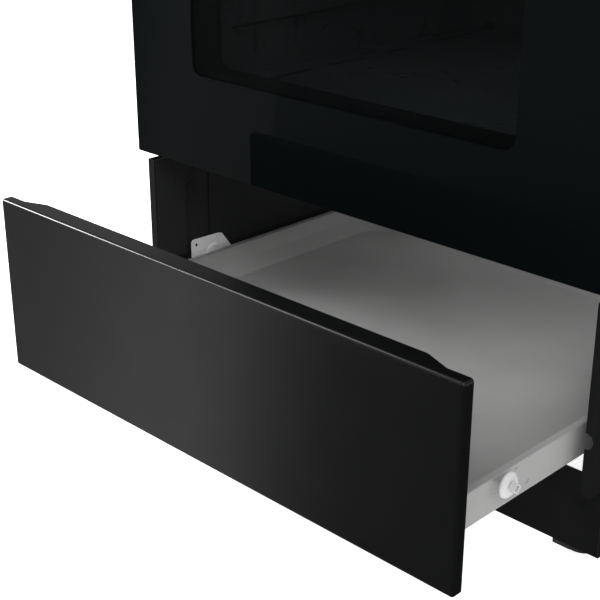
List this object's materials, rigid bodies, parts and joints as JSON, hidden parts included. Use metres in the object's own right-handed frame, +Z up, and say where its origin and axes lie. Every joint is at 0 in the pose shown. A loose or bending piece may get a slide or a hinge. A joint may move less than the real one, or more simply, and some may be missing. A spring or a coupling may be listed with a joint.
{
  "type": "freestanding gas range",
  "caption": "Freestanding gas range with a glass oven door, rotary controls, a gas hob with cast pan supports and a storage drawer standing part way out.",
  "frame": {"origin": "on the floor, under the middle of the object's box with the drawer part way out", "axes": "+X to the range's right side seen from the front, +Y to its back, +Z up"},
  "size_m": [0.6, 0.769, 0.938],
  "materials": {
    "black_enamel": "gloss black enamel",
    "zinc_steel": "galvanised",
    "foot_plastic": "matt black",
    "oven_enamel": "speckled dark grey enamel",
    "seal_rubber": "matt",
    "white_plastic": "satin white",
    "drawer_paint": "satin black",
    "tray_paint": "satin grey",
    "door_glass": "black printed, mirror-like",
    "clear_glass": "clear",
    "handle_metal": "satin black tube",
    "burner_alloy": "cast, matt",
    "cap_enamel": "matt black enamel",
    "cast_iron": "matt black",
    "chrome_wire": "bright",
    "tap_brass": "machined",
    "knob_plastic": "satin black"
  },
  "bodies": {
    "range": {"baking_tray": "oven_enamel", "base_frame": "zinc_steel", "burner_cap_front_left": "cap_enamel", "burner_cap_front_right": "cap_enamel", "burner_cap_rear_left": "cap_enamel", "burner_cap_rear_right": "cap_enamel", "burner_head_front_left": "burner_alloy", "burner_head_front_right": "burner_alloy", "burner_head_rear_left": "burner_alloy", "burner_head_rear_right": "burner_alloy", "control_panel": "black_enamel", "door_seal": "seal_rubber", "drawer_runner_left": "zinc_steel", "drawer_runner_right": "zinc_steel", "foot_front_left": "foot_plastic", "foot_front_right": "foot_plastic", "foot_rear_left": "foot_plastic", "foot_rear_right": "foot_plastic", "gas_manifold": "burner_alloy", "hinge_arm_left": "zinc_steel", "hinge_arm_right": "zinc_steel", "hob_top": "black_enamel", "oven_burner": "burner_alloy", "oven_floor_plate": "oven_enamel", "oven_front_frame": "oven_enamel", "oven_lamp_cover": "clear_glass", "oven_liner": "oven_enamel", "pan_support_left": "cast_iron", "pan_support_right": "cast_iron", "plinth": "black_enamel", "rear_panel": "zinc_steel", "shelf_support_left": "chrome_wire", "shelf_support_right": "chrome_wire", "side_panel_left": "black_enamel", "side_panel_right": "black_enamel", "wire_rack": "chrome_wire"},
    "drawer": {"drawer_front": "drawer_paint", "drawer_tray": "tray_paint", "roller_pin_right": "white_plastic", "roller_pin_left": "white_plastic"},
    "door": {"door_outer_glass": "door_glass", "door_frame": "black_enamel", "door_inner_panel": "oven_enamel", "door_inner_glass": "clear_glass", "door_handle": "handle_metal"},
    "drawer_roller_left": {"drawer_roller_left": "white_plastic"},
    "support_roller_left": {"support_roller_left": "white_plastic"},
    "drawer_roller_right": {"drawer_roller_right": "white_plastic"},
    "support_roller_right": {"support_roller_right": "white_plastic"},
    "tap_spindle_1": {"tap_spindle_1": "tap_brass"},
    "knob_1": {"knob_1": "knob_plastic"},
    "tap_spindle_2": {"tap_spindle_2": "tap_brass"},
    "knob_2": {"knob_2": "knob_plastic"},
    "tap_spindle_3": {"tap_spindle_3": "tap_brass"},
    "knob_3": {"knob_3": "knob_plastic"},
    "tap_spindle_4": {"tap_spindle_4": "tap_brass"},
    "knob_4": {"knob_4": "knob_plastic"},
    "tap_spindle_5": {"tap_spindle_5": "tap_brass"},
    "knob_5": {"knob_5": "knob_plastic"},
    "light_button": {"light_button": "knob_plastic"}
  },
  "joints": [
    {"name": "drawer_slide", "type": "slide", "parent": "range", "child": "drawer", "axis": [0, -1, 0], "range_m": [-0.179, 0.165]},
    {"name": "door_hinge", "type": "hinge", "parent": "range", "child": "door", "pos_m": [0, -0.1835, 0.3125], "axis": [1, 0, 0], "range_deg": [0, 90], "stiffness_Nm_per_rad": 6, "springref_deg": -14.32},
    {"name": "drawer_roller_turn_left", "type": "hinge", "parent": "drawer", "child": "drawer_roller_left", "pos_m": [-0.2812, -0.299, 0.1497], "axis": [1, 0, 0], "range_deg": [-900, 840]},
    {"name": "support_roller_turn_left", "type": "hinge", "parent": "range", "child": "support_roller_left", "pos_m": [-0.262, -0.1055, 0.1109], "axis": [1, 0, 0], "range_deg": [-1090, 1010]},
    {"name": "drawer_roller_turn_right", "type": "hinge", "parent": "drawer", "child": "drawer_roller_right", "pos_m": [0.2812, -0.299, 0.1497], "axis": [1, 0, 0], "range_deg": [-900, 840]},
    {"name": "support_roller_turn_right", "type": "hinge", "parent": "range", "child": "support_roller_right", "pos_m": [0.262, -0.1055, 0.1109], "axis": [1, 0, 0], "range_deg": [-1090, 1010]},
    {"name": "tap_push_1", "type": "slide", "parent": "range", "child": "tap_spindle_1", "axis": [0, 1, 0], "range_m": [0, 0.004], "stiffness_N_per_m": 900, "springref_m": -0.003},
    {"name": "knob_turn_1", "type": "hinge", "parent": "tap_spindle_1", "child": "knob_1", "pos_m": [-0.225, -0.2055, 0.8195], "axis": [0, -1, 0], "range_deg": [0, 240]},
    {"name": "tap_push_2", "type": "slide", "parent": "range", "child": "tap_spindle_2", "axis": [0, 1, 0], "range_m": [0, 0.004], "stiffness_N_per_m": 900, "springref_m": -0.003},
    {"name": "knob_turn_2", "type": "hinge", "parent": "tap_spindle_2", "child": "knob_2", "pos_m": [-0.125, -0.2055, 0.8195], "axis": [0, -1, 0], "range_deg": [0, 240]},
    {"name": "tap_push_3", "type": "slide", "parent": "range", "child": "tap_spindle_3", "axis": [0, 1, 0], "range_m": [0, 0.004], "stiffness_N_per_m": 900, "springref_m": -0.003},
    {"name": "knob_turn_3", "type": "hinge", "parent": "tap_spindle_3", "child": "knob_3", "pos_m": [0, -0.2055, 0.8195], "axis": [0, -1, 0], "range_deg": [0, 270]},
    {"name": "tap_push_4", "type": "slide", "parent": "range", "child": "tap_spindle_4", "axis": [0, 1, 0], "range_m": [0, 0.004], "stiffness_N_per_m": 900, "springref_m": -0.003},
    {"name": "knob_turn_4", "type": "hinge", "parent": "tap_spindle_4", "child": "knob_4", "pos_m": [0.125, -0.2055, 0.8195], "axis": [0, -1, 0], "range_deg": [0, 240]},
    {"name": "tap_push_5", "type": "slide", "parent": "range", "child": "tap_spindle_5", "axis": [0, 1, 0], "range_m": [0, 0.004], "stiffness_N_per_m": 900, "springref_m": -0.003},
    {"name": "knob_turn_5", "type": "hinge", "parent": "tap_spindle_5", "child": "knob_5", "pos_m": [0.225, -0.2055, 0.8195], "axis": [0, -1, 0], "range_deg": [0, 240]},
    {"name": "light_button_push", "type": "slide", "parent": "range", "child": "light_button", "axis": [0, 1, 0], "range_m": [0, 0.0025], "stiffness_N_per_m": 600, "springref_m": -0.002}
  ],
  "couplings": [
    {"joint": "drawer_roller_turn_left", "follows": "drawer_slide", "rad_per_m": 85.47},
    {"joint": "support_roller_turn_left", "follows": "drawer_slide", "rad_per_m": 105.26},
    {"joint": "drawer_roller_turn_right", "follows": "drawer_slide", "rad_per_m": 85.47},
    {"joint": "support_roller_turn_right", "follows": "drawer_slide", "rad_per_m": 105.26}
  ]
}
